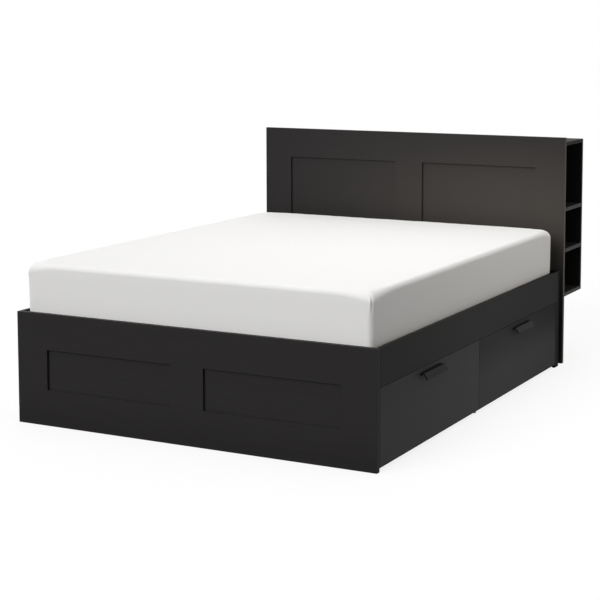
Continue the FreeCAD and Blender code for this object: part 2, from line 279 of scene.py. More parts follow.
def foil(name, grain, box=None, tint=FRAME_TINT, shift=0.0, gloss=0.05, warm=None, tones=(),
         strips=(), dull=None):
    """Black-brown wood-pattern foil: fine streaks along the board, shallow pores and a satin face.
    warm is (corner, reach): a painted light, the colour is made a little lighter and redder towards
    that corner.
    tones are (axis, start, end, share): painted shade, which brings the colour down to that share of
    its own on the way.
    strips are (axis, side, tint): the face on that side of the box, -1 low or 1 high, has its own tint.
    dull is (axis, start, end, more): the face gets that much rougher on the way."""
    made = Finish(name, ior_level=gloss)
    lie = made.place        # the print's own place is shifted, and the rest lies where the board does
    if shift:
        made.place = made.vector("ADD", made.place, Vector((shift, 1.7 * shift, 0.6 * shift)))
    # noise cells per metre, along the grain and across it
    waves = made.noise(made.along(grain, 1.1, 5.0), 1.0, 2.0)
    waved = made.vector("ADD", made.along(grain, 3.2, 240.0), made.join(waves, waves, waves))
    streaks = made.noise(waved, 1.0, 5.0, 0.62)
    fine = made.noise(made.along(grain, 24.0, 720.0), 1.0, 3.0, 0.6)
    dark, light, pore, bare = (tuple(c * gain for c in tint) for gain in (0.95, 1.05, 0.5, 2.2))
    body = made.blend(made.span(streaks, 0.30, 0.72), dark, light)
    # painted light: the colour grows lighter and redder towards the given corner
    if warm:
        corner, reach = warm
        far = made.vector("ABSOLUTE", made.vector("SUBTRACT", lie, Vector(corner)))
        x, _, z = made.parts(made.vector("MULTIPLY", far, Vector(tuple(1 / r for r in reach))))
        near = made.math("MULTIPLY", made.span(x, 0.0, 1.0, 1.0, 0.0),
                         made.span(z, 0.0, 1.0, 1.0, 0.0))
        body = made.blend(near, body, tuple(c * gain for c, gain in zip(tint, PAINTED_GLOW_GAIN)))
    # painted shade: the colour is brought down along an axis
    for axis, start, end, share in tones:
        here = made.span(made.parts(lie)["XYZ".index(axis)], start, end, 1.0, share)
        body = made.blend(1.0, body, made.join(here, here, here), "MULTIPLY")
    for axis, side, own in strips:
        at = "XYZ".index(axis)
        face = box[1][at] if side > 0 else box[0][at]
        deep = made.math("MULTIPLY", made.math("SUBTRACT", face, made.parts(lie)[at]),
                         float(side))
        body = made.blend(made.span(deep, 0.3 * MM, 0.6 * MM, 1.0, 0.0), body, own)
    pores = made.span(fine, 0.60, 0.74)
    body = made.blend(made.math("MULTIPLY", pores, 0.30), body, pore)
    rough = made.math("ADD", made.span(streaks, 0.3, 0.7, FOIL_ROUGH - 0.01, FOIL_ROUGH + 0.01),
                      made.math("MULTIPLY", pores, 0.05))
    if box:
        worn = made.math("MULTIPLY", made.edges(*box, 1.4 * MM),
                         made.span(made.noise(lie, 38.0, 3.0, 0.7), 0.35, 0.7, 0.25, 1.0))
        body = made.blend(made.math("MULTIPLY", worn, 0.45), body, bare)
        rough = made.math("ADD", rough, made.math("MULTIPLY", worn, 0.12))
    if dull:
        axis, start, end, more = dull
        here = made.span(made.parts(lie)["XYZ".index(axis)], start, end, 0.0, more)
        rough = made.math("ADD", rough, here)
    made.color(body)
    made.rough(rough)
    made.bump(made.math("SUBTRACT", made.math("MULTIPLY", streaks, 0.3), pores), 0.07, 0.04 * MM)
    return made.material


def fibreboard(name, box):
    """The drawers' bottoms: hardboard printed to match, with a dull face."""
    made = Finish(name, ior_level=0.3)
    streaks = made.noise(made.along("Y", 3.0, 80.0), 1.0, 4.0, 0.6)
    fibres = made.noise(made.place, 420.0, 4.0, 0.7)
    dark, light, bare = (0.012, 0.0105, 0.0100), (0.021, 0.0185, 0.0175), (0.09, 0.06, 0.038)
    body = made.blend(made.span(streaks, 0.35, 0.7), dark, light)
    worn = made.edges(*box, 1.5 * MM)
    made.color(made.blend(made.math("MULTIPLY", worn, 0.7), body, bare))
    made.rough(made.span(fibres, 0.3, 0.7, 0.48, 0.62))
    made.bump(fibres, 0.12, 0.15 * MM)
    return made.material


def softwood(name, grain, shift=0.0, stain=None):
    """Planed pine with growth lines, a few knots and end grain, and perhaps a dark stain over them."""
    early_wood, late_wood = (0.69, 0.50, 0.29), (0.46, 0.26, 0.11)
    knot_wood, fibre_wood = (0.20, 0.095, 0.04), (0.40, 0.27, 0.15)
    made = Finish(name, ior_level=0.4)
    made.place = made.vector("ADD", made.place, Vector((shift, shift * 1.3, shift * 0.7)))
    sway = made.noise(made.along(grain, 1.6 * 0.22, 17.0 * 0.22), 1.0, 2.0)
    knots = made.span(made.cells(made.along(grain, 3.1, 9.0), 1.0), 0.0, 0.16, 1.0, 0.0)
    rings = made.math("ADD", made.noise(made.along(grain, 1.6, 17.0), 1.0, 2.0, 0.4),
                      made.math("MULTIPLY", sway, 0.8))
    rings = made.math("ADD", rings, made.math("MULTIPLY", knots, 0.5))
    lines = made.math("FRACT", made.math("MULTIPLY", rings, 11.0))
    late = made.math("MULTIPLY", made.span(lines, 0.35, 0.95), made.span(lines, 0.95, 1.0, 1.0, 0.0))
    fibre = made.noise(made.along(grain, 30.0, 900.0), 1.0, 3.0, 0.6)
    body = made.blend(made.math("MULTIPLY", late, 0.75), early_wood, late_wood)
    body = made.blend(made.math("MULTIPLY", knots, 0.9), body, knot_wood)
    body = made.blend(made.span(fibre, 0.35, 0.75, 0.0, 0.22), body, fibre_wood)
    if stain:
        body = made.blend(1.0, body, stain, "MULTIPLY")
    made.color(body)
    made.rough(made.span(fibre, 0.3, 0.7, 0.52, 0.68))
    made.bump(made.math("ADD", made.math("MULTIPLY", late, 0.5), fibre), 0.25, 0.2 * MM)
    return made.material


def veneer_slats(name):
    """Layer-glued birch slats: each has its own figure, and the plies show on the long edges."""
    wood, flame_wood = (0.62, 0.45, 0.27), (0.74, 0.59, 0.39)
    fibre_wood, own_wood = (0.45, 0.30, 0.16), (0.56, 0.37, 0.19)
    long_ply, end_ply, glue_line = (0.66, 0.48, 0.29), (0.47, 0.30, 0.16), (0.16, 0.08, 0.035)
    ply_sheet = 1.45 * MM
    made = Finish(name, ior_level=0.4)
    x, y, z = made.parts(made.place)
    first, pitch = slat_rows()
    # numbered from 5 mm before the first slat, so that no number changes on a slat
    index = made.math("FLOOR", made.math("DIVIDE", made.math("SUBTRACT", y, first - 5 * MM), pitch))
    own = made.random(index)
    made.place = made.join(made.math("ADD", x, made.math("MULTIPLY", own, 7.0)),
                           made.math("ADD", y, made.math("MULTIPLY", own, 3.0)), z)
    sway = made.noise(made.along("X", 1.3, 9.0), 1.0, 2.0)
    swayed = made.vector("ADD", made.along("X", 1.5, 42.0),
                         made.join(0.0, made.math("MULTIPLY", sway, 2.2), 0.0))
    flames = made.noise(swayed, 1.0, 3.0, 0.55)
    fibre = made.noise(made.along("X", 26.0, 800.0), 1.0, 3.0, 0.6)
    body = made.blend(made.span(flames, 0.32, 0.68), wood, flame_wood)
    body = made.blend(made.span(fibre, 0.4, 0.75, 0.0, 0.25), body, fibre_wood)
    body = made.blend(made.math("MULTIPLY", own, 0.22), body, own_wood)
    plies = made.math("FRACT", made.math("MULTIPLY", z, 1 / (2 * ply_sheet)))
    ply = made.math("MULTIPLY", made.span(plies, 0.48, 0.52), made.span(plies, 0.96, 1.0, 1.0, 0.0))
    glue = made.math("MULTIPLY", made.span(plies, 0.44, 0.48), made.span(plies, 0.50, 0.54, 1.0, 0.0))
    upward = made.math("ABSOLUTE", made.parts(made.coords.outputs["Normal"])[2])
    side = made.span(upward, 0.4, 0.6, 1.0, 0.0)
    edge = made.blend(ply, long_ply, end_ply)
    edge = made.blend(made.math("MULTIPLY", glue, 0.7), edge, glue_line)
    made.color(made.blend(side, body, edge))
    made.rough(made.span(fibre, 0.3, 0.7, 0.42, 0.58))
    made.bump(made.math("ADD", fibre, made.math("MULTIPLY", made.math("MULTIPLY", side, ply), 0.5)),
              0.2, 0.18 * MM)
    return made.material


def coated_steel(name, box=None):
    """Powder-coated steel with a fine orange-peel face, thinner on its edges."""
    tint, worn_steel = (0.0012, 0.0011, 0.0011), (0.016, 0.015, 0.0145)
    made = Finish(name, ior_level=0.055)
    peel = made.noise(made.place, 620.0, 2.0, 0.5)
    grit = made.noise(made.place, 2600.0, 2.0, 0.6)
    tone = made.noise(made.place, 14.0, 3.0)
    dark, light = (tuple(c * gain for c in tint) for gain in (0.85, 1.2))
    body = made.blend(made.span(tone, 0.3, 0.7), dark, light)
    rough = made.span(grit, 0.3, 0.7, 0.36, 0.46)
    if box:
        worn = made.math("MULTIPLY", made.edges(*box, 0.5 * MM),
                         made.span(made.noise(made.place, 60.0, 3.0, 0.7), 0.42, 0.7))
        body = made.blend(made.math("MULTIPLY", worn, 0.4), body, worn_steel)
        rough = made.math("SUBTRACT", rough, made.math("MULTIPLY", worn, 0.08))
    made.color(body)
    made.rough(rough)
    made.bump(peel, 0.10, 0.25 * MM)
    return made.material


def zinc_plate(name):
    """Zinc-plated steel: rolled streaks, faint bloom and a soft shine."""
    bright, bloomed, rolled = (0.60, 0.60, 0.60), (0.44, 0.45, 0.46), (0.72, 0.71, 0.68)
    made = Finish(name, metallic=1.0)
    streaks = made.noise(made.along("X", 12.0, 500.0), 1.0, 3.0, 0.6)
    bloom = made.noise(made.place, 45.0, 4.0, 0.65)
    body = made.blend(made.span(bloom, 0.35, 0.72), bright, bloomed)
    made.color(made.blend(made.span(streaks, 0.4, 0.7, 0.0, 0.3), body, rolled))
    made.rough(made.math("ADD", made.span(streaks, 0.3, 0.7, 0.26, 0.36),
                         made.span(bloom, 0.5, 0.8, 0.0, 0.14)))
    made.bump(streaks, 0.08, 0.1 * MM)
    return made.material


def moulded_nylon(name):
    """Black moulded nylon with a faintly rubbed tread."""
    black, dusty = (0.018, 0.018, 0.019), (0.075, 0.070, 0.062)
    made = Finish(name, ior_level=0.4)
    grain = made.noise(made.place, 1500.0, 3.0, 0.6)
    dust = made.noise(made.place, 60.0, 4.0, 0.6)
    made.color(made.blend(made.span(dust, 0.48, 0.8, 0.0, 0.35), black, dusty))
    made.rough(made.span(grain, 0.3, 0.7, 0.42, 0.60))
    made.bump(grain, 0.12, 0.12 * MM)
    return made.material


def woven(name, tint, pitch, strength, sheen):
    """Plain-weave cloth: crossing yarns with slubs, and a soft sheen."""
    made = Finish(name, ior_level=0.25, Sheen_Weight=sheen, Sheen_Roughness=0.45)
    uneven = made.join(*(made.noise(made.place, scale, 2.0) for scale in (26.0, 31.0, 29.0)))
    wobble = made.vector("SUBTRACT", uneven, Vector((0.5, 0.5, 0.5)))
    place = made.vector("ADD", made.place, made.vector("MULTIPLY", wobble, Vector((2.0 * MM,) * 3)))
    x, y, z = made.parts(place)
    turn = math.pi / pitch
    # up the sides the yarns run with Z, so the sum takes over where X or Y stands still
    warp = made.math("SINE", made.math("MULTIPLY", made.math("ADD", x, z), turn))
    weft = made.math("SINE", made.math("MULTIPLY", made.math("ADD", y, z), turn))
    over = made.math("MULTIPLY", warp, weft)
    yarn = made.math("ADD", made.math("MULTIPLY", over, 0.5), 0.5)
    slubs = made.noise(made.vector("MULTIPLY", made.place, Vector((60.0, 900.0, 300.0))), 1.0, 3.0, 0.6)
    tone = made.noise(made.place, 5.0, 3.0)
    between, slub, worn = (tuple(min(1, c * gain) for c in tint) for gain in (0.94, 1.04, 0.93))
    shade = made.blend(made.span(yarn, 0.0, 1.0), between, tint)
    shade = made.blend(made.span(slubs, 0.5, 0.75, 0.0, 0.10), shade, slub)
    shade = made.blend(made.span(tone, 0.3, 0.7, 0.0, 0.06), shade, worn)
    made.color(shade)
    made.rough(made.span(yarn, 0.0, 1.0, 0.81, 0.91))
    made.bump(made.math("ADD", yarn, made.math("MULTIPLY", slubs, 0.5)), strength, 0.25 * MM)
    return made.material


def seen_rays(tree):
    """1 for what the camera, a reflection or a clear piece sees, 0 for what lights the object."""
    path = tree.nodes.new("ShaderNodeLightPath")
    total = path.outputs["Is Camera Ray"]
    for ray in ("Is Glossy Ray", "Is Transmission Ray"):
        both = tree.nodes.new("ShaderNodeMath")
        both.operation, both.use_clamp = "ADD", True
        tree.links.new(total, both.inputs[0])
        tree.links.new(path.outputs[ray], both.inputs[1])
        total = both.outputs[0]
    return total


def floor_finish():
    """A pale studio floor. The camera and reflections see it lighter, but not deep under the bed, which
    is left dark as a painted shade.
    """
    shade_from, shade_to = 75 * MM, 45 * MM       # painted shade under the bed: from full dark to none, inward of the rails' faces
    end_fade = 8 * MM
    made = Finish("studio_floor", roughness=0.9, ior_level=0.0)
    tree = made.tree
    tone = made.noise(made.place, 0.7, 2.0)
    made.color(made.blend(tone, (FLOOR_TONE,) * 3, (FLOOR_TONE * 1.01,) * 3))
    foot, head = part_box("foot_panel")[0].y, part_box("headboard_front")[0].y
    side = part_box("side_rail_right")[1].x
    x, y, _ = made.parts(made.place)
    across = made.span(made.math("ABSOLUTE", x), side - shade_from, side - shade_to, 1.0, 0.0)
    along = made.span(made.math("ABSOLUTE", made.math("SUBTRACT", y, (foot + head) / 2)),
                      (head - foot) / 2 - end_fade, (head - foot) / 2, 1.0, 0.0)
    glow_outside_shade = made.math("SUBTRACT", 1.0, made.math("MULTIPLY", across, along))
    glow = tree.nodes.new("ShaderNodeEmission")
    tree.links.new(made.math("MULTIPLY", glow_outside_shade, FLOOR_GLOW), glow.inputs["Strength"])
    none = tree.nodes.new("ShaderNodeEmission")
    none.inputs["Strength"].default_value = 0.0
    choose = tree.nodes.new("ShaderNodeMixShader")
    total = tree.nodes.new("ShaderNodeAddShader")
    tree.links.new(seen_rays(tree), choose.inputs[0])
    tree.links.new(none.outputs[0], choose.inputs[1])
    tree.links.new(glow.outputs[0], choose.inputs[2])
    tree.links.new(made.shader.outputs[0], total.inputs[0])
    tree.links.new(choose.outputs[0], total.inputs[1])
    tree.links.new(total.outputs[0], tree.nodes["Material Output"].inputs["Surface"])
    return made.material


# ---- finishes on the CAD nodes ----------------------------------------------------------------------

def dress(node, material):
    slots = nodes[node].material_slots
    for slot in slots:
        slot.material = material
    if not slots:
        raise ValueError(node + " has no material slot")


def dress_foil(node, grain, shift=0.0, tint=FRAME_TINT, gloss=0.05, **more):
    dress(node, foil("foil_" + node, grain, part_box(node), tint, shift, gloss, **more))


head_low, head_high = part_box("headboard_front")
rail_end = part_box("side_rail_right")[1].y
# painted shade: the sides get darker towards the head, slowly and then in the last 120 mm
slow_painted_shade = ("Y", -0.30, rail_end, 0.15)
head_painted_shade = ("Y", rail_end - 120 * MM, rail_end, 0.15)
zinc = zinc_plate("zinc_plate")
black_steel = coated_steel("coated_bracket_steel")
nylon = moulded_nylon("moulded_nylon")
# painted shade: the foot panel is darker towards the floor
dress_foil("foot_panel", "X", 0.37, PANEL_TINT, 0.03, tones=[("Z", 0.20, 0.0, 0.80)],
           strips=[("X", -1, RAIL_TINT), ("X", 1, RAIL_TINT)])
# painted light: the headboard grows lighter and redder towards its right corner by the mattress
dress_foil("headboard_front", "X", 0.0, warm=((head_high.x, head_low.y, 0.72), (1.7, 1.0, 0.54)))
for number, (node, grain, tint, gloss, more) in enumerate((
        # painted shade: the head panel in the gap is nearly black
        ("head_panel", "X", GAP_SHADE_TINT, 0.006, {}),
        ("side_rail_right", "Y", RAIL_TINT, 0.018, {"tones": [slow_painted_shade, head_painted_shade]}),
        ("side_rail_left", "Y", RAIL_TINT, 0.018, {"tones": [slow_painted_shade, head_painted_shade]}),
        ("centre_partition", "X", FRAME_TINT, 0.05, {}),
        ("head_fillers", "Z", RAIL_TINT, 0.012, {"tones": [slow_painted_shade, head_painted_shade]}),
        # the bookcase's boards take the compartments' painted shade; the back board's outer face keeps
        # the frame's tint
        ("bookcase_top", "X", INSIDE_SHADE_TINT, 0.012, {}),
        ("bookcase_bottom", "X", INSIDE_SHADE_TINT, 0.05, {}),
        ("bookcase_back", "X", INSIDE_SHADE_TINT, 0.05, {"strips": [("Y", 1, FRAME_TINT)]}),
        ("bookcase_upright_right", "Z", INSIDE_SHADE_TINT, 0.04, {}),
        ("bookcase_upright_left", "Z", INSIDE_SHADE_TINT, 0.04, {}),
        ("shelves_right", "X", INSIDE_SHADE_TINT, 0.05, {}),
        ("shelves_left", "X", INSIDE_SHADE_TINT, 0.05, {}))):
    dress_foil(node, grain, 0.74 + 0.37 * number, tint, gloss, **more)

# gloss of a drawer front, and how far down from its top edge and by how much it is duller
FRONT_FACE = {"foot": (0.040, 120 * MM, 0.04), "head": (0.031, 200 * MM, 0.15)}
for number, (end, side) in enumerate(DRAWERS):
    key = end + "_" + side + "_drawer_"
    bottom, top = (corner.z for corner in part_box(key + "front"))
    gloss, dull_height, dull_more = FRONT_FACE[end]
    # painted shade: each front is darker towards the head, and in a narrow band just above its bottom
    # edge
    dress_foil(key + "front", "Y", 1.3 * number, DRAWER_TINT, gloss,
               tones=[("Y", 0.10, rail_end, 0.1), head_painted_shade,
                      ("Z", bottom + 7 * MM, bottom + 3 * MM, 0.1)],
               dull=("Z", top - dull_height, top, dull_more))
    for board, grain, extra in (("foot_side", "X", 0.2), ("head_side", "X", 0.4), ("back", "Y", 0.6)):
        dress_foil(key + board, grain, 1.3 * number + extra)
    dress(key + "bottom", fibreboard("hardboard_" + key + "bottom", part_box(key + "bottom")))
    dress(key + "handle", coated_steel("coated_" + key + "handle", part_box(key + "handle")))
    dress(key + "castor_forks", zinc)

dress("corner_brackets", black_steel)
dress("mid_beam_hangers", black_steel)
dress("headboard_bolts", zinc)
dress("headboard_spacers", softwood("stained_spacers", "Z", 3.0, (0.045, 0.05, 0.075)))
dress("slat_ledges", softwood("pine_ledges", "Y"))
dress("mid_beam", softwood("pine_beam", "Y", 1.9))
slat_wood = veneer_slats("birch_veneer_slats")
dress("slats_right", slat_wood)
dress("slats_left", slat_wood)
dress("slat_straps", woven("strap_webbing", (0.72, 0.71, 0.67), 1.6 * MM, 0.6, 0.1))


# ---- mattress and fitted sheet ----------------------------------------------------------------------

def marks(half, fine, wide, reach):
    """Places from -half to half, fine apart within reach of both ends and then up to wide."""
    found, at, step = [half], half, fine
    while at > 0:
        if half - at > reach:
            step = min(wide, step * 1.35)
        at -= step
        found.append(at)
    found = [p for p in found if p > step * 0.5]
    return [-p for p in found] + [0.0] + found[::-1]


def shell(half_x, half_y, middle_y, rings, top_z, edge, corner_edge, crown, closed=False,
          grid=(3, 22, 48)):
    """A box-shaped skin. rings are (z, inset, corner radius, turn) from its lower rim to its top edge.
    Rings with a turn go over the top edge, whose radius grows from edge to corner_edge at the corners.
    grid is the finest and widest spacing and the reach of the fine one, in mm."""
    edge_reach = 90 * MM
    xs, ys = (marks(half, *(g * MM for g in grid)) for half in (half_x, half_y))
    nx, ny = len(xs), len(ys)
    rim = ([(i, 0) for i in range(nx)] + [(nx - 1, j) for j in range(1, ny)]
           + [(i, ny - 1) for i in range(nx - 2, -1, -1)] + [(0, j) for j in range(ny - 2, 0, -1)])
    points, faces = [], []

    def place(gx, gy, inset, radius):
        a, b = half_x - inset, half_y - inset
        x, y = gx / half_x * a, gy / half_y * b
        radius = max(radius, 0.1 * MM)
        cx, cy = max(-a + radius, min(a - radius, x)), max(-b + radius, min(b - radius, y))
        dx, dy = x - cx, y - cy
        if dx and dy:
            grown = max(abs(dx), abs(dy)) / math.hypot(dx, dy)
            dx, dy = dx * grown, dy * grown
        return cx + dx, cy + dy

    def bend_at(x, y):
        away = math.hypot(half_x - abs(x), half_y - abs(y))
        return edge + (corner_edge - edge) * math.exp(-(away / edge_reach) ** 2)

    for z, inset, radius, turn in rings:
        for i, j in rim:
            here = inset
            at_z = z
            if turn is not None:
                bend = bend_at(xs[i], ys[j])
                here = bend * (1 - math.cos(turn))
                at_z = top_z - bend * (1 - math.sin(turn))
            x, y = place(xs[i], ys[j], here, max(radius - here * 0.45, 3 * MM))
            points.append(Vector((x, y + middle_y, at_z)))
    count = len(rim)
    for ring in range(len(rings) - 1):
        for k in range(count):
            a, b = ring * count + k, ring * count + (k + 1) % count
            faces.append((a, b, b + count, a + count))
    last = (len(rings) - 1) * count

    def cap(start, inset_at, height, flip):
        at = {rim[k]: start + k for k in range(count)}
        for i in range(1, nx - 1):
            for j in range(1, ny - 1):
                x, y = place(xs[i], ys[j], inset_at(xs[i], ys[j]), 0)
                at[(i, j)] = len(points)
                points.append(Vector((x, y + middle_y, height(x, y))))
        for i in range(nx - 1):
            for j in range(ny - 1):
                quad = (at[(i, j)], at[(i + 1, j)], at[(i + 1, j + 1)], at[(i, j + 1)])
                faces.append(quad[::-1] if flip else quad)

    half_a, half_b = half_x - edge, half_y - edge

    def crowned(x, y):
        u, v = min(1.0, abs(x) / half_a), min(1.0, abs(y) / half_b)
        return top_z + crown * (1 - u ** 2.6) * (1 - v ** 2.6)

    cap(last, bend_at, crowned, False)
    if closed:
        cap(0, lambda x, y: rings[0][1], lambda x, y: rings[0][0], True)
    return points, faces


def edge_rings(low, top, low_edge, corner_edge, waist, corner, tuck=0.0):
    """Rings up the side: an optional tuck under it, a rounded edge, a full side and a rounded top."""
    tuck_steps, low_steps, side_steps, top_steps = 9, 6, 24, 12
    rings = []
    if tuck:
        for step in range(tuck_steps):
            inset = low_edge + waist + tuck * (1 - step / tuck_steps)
            rings.append((low, inset, corner * 0.5, None))
    for step in range(low_steps + 1):
        turn = math.radians(90 / low_steps * step)
        left = 1 - math.sin(turn)
        rings.append((low + low_edge * (1 - math.cos(turn)), low_edge * left + waist,
                      corner - low_edge * 0.4 * left, None))
    start, end = low + low_edge, top - corner_edge - 4 * MM
    for step in range(1, side_steps + 1):
        share = step / side_steps
        rings.append((start + (end - start) * share, waist * (1 - share) ** 2, corner, None))
    for step in range(top_steps + 1):
        rings.append((0.0, 0.0, corner, math.radians(90 / top_steps * step)))
    return rings


mattress_low, mattress_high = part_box("mattress")
mattress_middle = (mattress_low + mattress_high) / 2
mattress_half = (mattress_high - mattress_low) / 2
sheet_cloth = woven("percale_sheet", (0.86, 0.855, 0.845), 0.9 * MM, 0.22, 0.18)
ticking = woven("mattress_ticking", (0.78, 0.77, 0.74), 2.4 * MM, 0.6, 0.2)

SHEET_CORNER = 26 * MM      # radius of the upright corners
SHEET_TUCK = 70 * MM        # how far the sheet goes in under the mattress
LOW_EDGE = 18 * MM
TOP_EDGE = 24 * MM
TOP_CORNER = 44 * MM        # the top edge's radius at the corners
WAIST = 2.5 * MM            # how far the side draws in above the lower edge
CROWN = 5.5 * MM

sheet_low = mattress_low.z + 0.4 * MM
sheet_top = mattress_high.z - 6 * MM
points, faces = shell(mattress_half.x, mattress_half.y, mattress_middle.y,
                      edge_rings(sheet_low, sheet_top, LOW_EDGE, TOP_CORNER, WAIST, SHEET_CORNER,
                                 SHEET_TUCK),
                      sheet_top, TOP_EDGE, TOP_CORNER, CROWN)


def filled_out(limit):
    """Cloth under pressure: how a coarse skin of the mattress swells and draws in.
    Gives the move at a point, which is never over limit."""
    frames = 20
    held_height = 20 * MM       # of the skin, that the slats and the frame hold
    neighbours, blur = 8, 12 * MM
    inset = 1.5 * MM
    rough_points, rough_faces = shell(
        mattress_half.x - inset, mattress_half.y - inset, mattress_middle.y,
        edge_rings(sheet_low, sheet_top, LOW_EDGE, TOP_CORNER, WAIST, 60 * MM)[::2],
        sheet_top, 26 * MM, TOP_CORNER, 4.0 * MM, closed=True, grid=(26, 30, 60))
    skin = add_object("swelling_skin", rough_points, rough_faces, sheet_cloth)
    rest = [v.co.copy() for v in skin.data.vertices]
    held = skin.vertex_groups.new(name="held")
    low_points = [v.index for v in skin.data.vertices if v.co.z < mattress_low.z + held_height]
    held.add(low_points, 1.0, "REPLACE")
    cloth = skin.modifiers.new("cloth", "CLOTH")
    cloth.settings.quality = 6
    cloth.settings.mass = 0.25
    cloth.settings.tension_stiffness = cloth.settings.compression_stiffness = 30.0
    cloth.settings.shear_stiffness = 12.0
    cloth.settings.bending_stiffness = 1.0
    cloth.settings.use_pressure = True
    cloth.settings.uniform_pressure_force = 4.0
    cloth.settings.effector_weights.gravity = 0.0
    cloth.settings.vertex_group_mass = "held"
    cloth.point_cache.frame_start, cloth.point_cache.frame_end = 1, frames
    scene = bpy.context.scene
    for step in range(1, frames + 1):
        scene.frame_set(step)
    shaped = skin.evaluated_get(bpy.context.evaluated_depsgraph_get()).data
    moves = [after.co - before for after, before in zip(shaped.vertices, rest)]
    tree = kdtree.KDTree(len(rest))
    for index, p in enumerate(rest):
        tree.insert(p, index)
    tree.balance()
    most = max(move.length for move in moves)
    scene.frame_set(1)
    bpy.data.objects.remove(skin)

    def move_at(p):
        total, weight = Vector(), 0.0
        for _, index, far in tree.find_n(p, neighbours):
            share = 1 / (far + blur) ** 2
            total += moves[index] * share
            weight += share
        return total / weight * min(1.0, limit / most)

    return move_at


def bell(value, middle, width):
    return math.exp(-((value - middle) / width) ** 2)


def soft_offset(p):
    """How far the sheet stands out: slow waves, the pleat on each corner, folds drawn to the corners
    and an uneven top edge. Heights here are in mm, lengths in metres."""
    corner_reach = 0.16
    x, y = p.x, p.y - mattress_middle.y
    slow = (noise.noise(Vector((x * 2.6, y * 2.6, p.z * 5))) * 0.9
            + noise.noise(Vector((x * 7, y * 7, p.z * 9))) * 0.35)
    cx, cy = mattress_half.x - abs(x), mattress_half.y - abs(y)
    away = math.hypot(cx, cy)
    near = math.exp(-(away / corner_reach) ** 2)
    drop = sheet_top - p.z
    if drop > 10 * MM:
        folds = math.sin((max(cx, cy) + drop * 0.55) / 0.016) * near * min(1.0, drop / 0.06) * 0.3
        # the corner's seam, gathered into a short pleat under the top edge; along is the angle round
        # the corner, and lies off every bell away from it
        round_corner = max(cx, cy) <= SHEET_CORNER * 1.05
        along = math.atan2(SHEET_CORNER - cy, SHEET_CORNER - cx) if round_corner else -9.0
        pleat = 4.2 * bell(along, 1.10, 0.13) - 2.8 * bell(along, 0.82, 0.12)
        folds += pleat * bell(drop, 0.046, 0.020)
        folds -= 0.35 * bell(along, 0.78, 0.05) * min(1.0, drop / 0.08)
    else:
        angle = math.atan2(cy, cx + 1e-9)
        folds = math.sin(angle * 14) * near * min(1.0, away / 0.05) * 0.17
    edge = bell(drop, 5 * MM, 15 * MM) * (1 - near)
    uneven = (noise.noise(Vector((x * 9, y * 9, 4.0))) * 1.5
              + noise.noise(Vector((x * 21, y * 21, 9.0))) * 0.7)
    return (slow * 0.6 + folds + uneven * edge) * MM


swelling = filled_out(5.0 * MM)
sheet = add_object("fitted_sheet", points, faces, sheet_cloth)
SHEET_HELD = 12 * MM        # height of the sheet's lower edge, which stays where it is
SHEET_INSET = 1.6 * MM      # makes room for the swelling
moved = []
for vertex in sheet.data.vertices:
    p, n = vertex.co.copy(), vertex.normal.copy()
    free = 0.0 if p.z < mattress_low.z + SHEET_HELD else 1.0
    moved.append(p + (n * (soft_offset(p) - SHEET_INSET) + swelling(p)) * free)
for vertex, p in zip(sheet.data.vertices, moved):
    vertex.co = p
thick = sheet.modifiers.new("cloth", "SOLIDIFY")
thick.thickness = 0.8 * MM
thick.offset = -1.0
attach(sheet, "bed")

CORE_INSET = 4 * MM
CORE_EDGE = 2 * MM          # how much tighter the core's edges are
core_top = sheet_top - CORE_INSET
points, faces = shell(mattress_half.x - CORE_INSET, mattress_half.y - CORE_INSET, mattress_middle.y,
                      edge_rings(mattress_low.z + 1.6 * MM, core_top, LOW_EDGE - CORE_EDGE,
                                 TOP_CORNER - CORE_EDGE, WAIST, SHEET_CORNER),
                      core_top, TOP_EDGE - CORE_EDGE, TOP_CORNER - CORE_EDGE, 5.0 * MM, closed=True)
core = add_object("mattress_core", points, faces, ticking)
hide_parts("mattress")
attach(core, "bed")


# ---- fasteners --------------------------------------------------------------------------------------

def wheel_profile(radius, half, bore):
    """A moulded wheel with a rounded tread, sunk cheeks and a raised hub."""
    sunk = 2.2 * MM
    low = [(bore, -half), (bore + 4 * MM, -half), (bore + 5 * MM, -half + sunk),
           (radius - 5 * MM, -half + sunk), (radius - 4 * MM, -half), (radius - 1.6 * MM, -half),
           (radius - 0.5 * MM, -half + 0.7 * MM), (radius, -half + sunk)]
    return low + [(out, -height) for out, height in reversed(low)]


